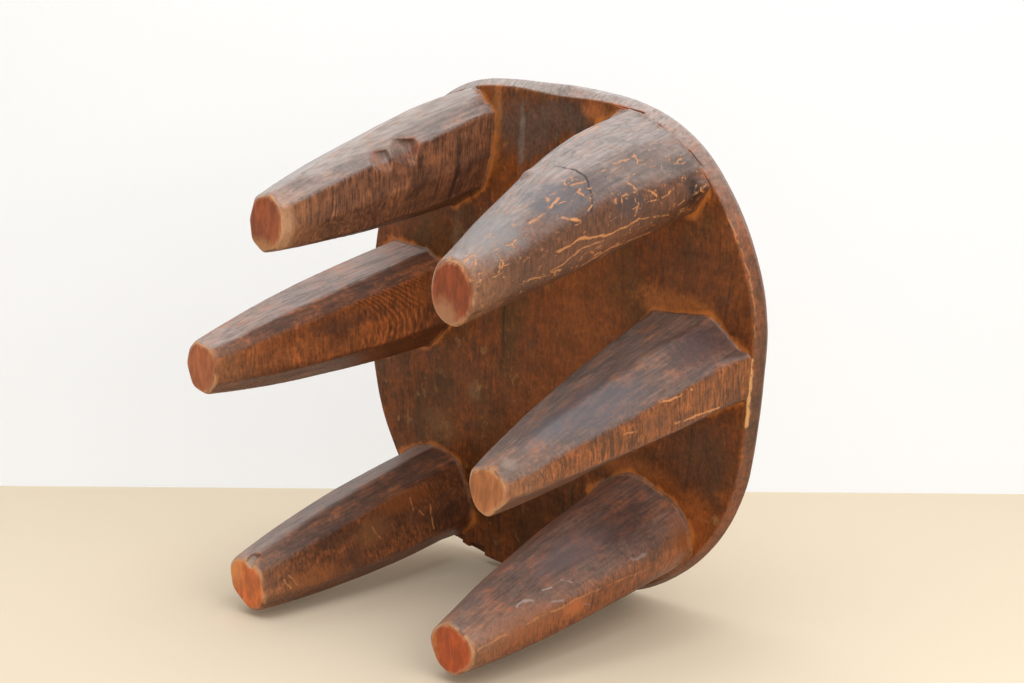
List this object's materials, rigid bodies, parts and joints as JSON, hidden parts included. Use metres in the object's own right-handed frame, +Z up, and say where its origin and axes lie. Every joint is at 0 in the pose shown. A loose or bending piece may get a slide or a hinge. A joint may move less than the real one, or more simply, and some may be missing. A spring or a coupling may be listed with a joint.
{
  "type": "carved wooden stool",
  "caption": "Low round stool hewn from one block of wood, with a dished, hand-cut seat and faceted, swelling legs that spread towards its edge.",
  "frame": {"origin": "centre of the bounding box, on the floor between the feet", "axes": "+Z up through the seat, -Y towards the front, +X to the right as seen from the front"},
  "size_m": [0.3446, 0.368, 0.22],
  "materials": {
    "seat_wood": "hand-rubbed dark patina, worn grey along the rim",
    "leg_wood": "adzed and hand-rubbed, orange where the patina has worn through"
  },
  "bodies": {
    "root": {"seat": "seat_wood", "leg_back_right": "leg_wood", "leg_back_left": "leg_wood", "leg_mid_right": "leg_wood", "leg_mid_left": "leg_wood", "leg_front_right": "leg_wood", "leg_front_left": "leg_wood"}
  },
  "joints": []
}
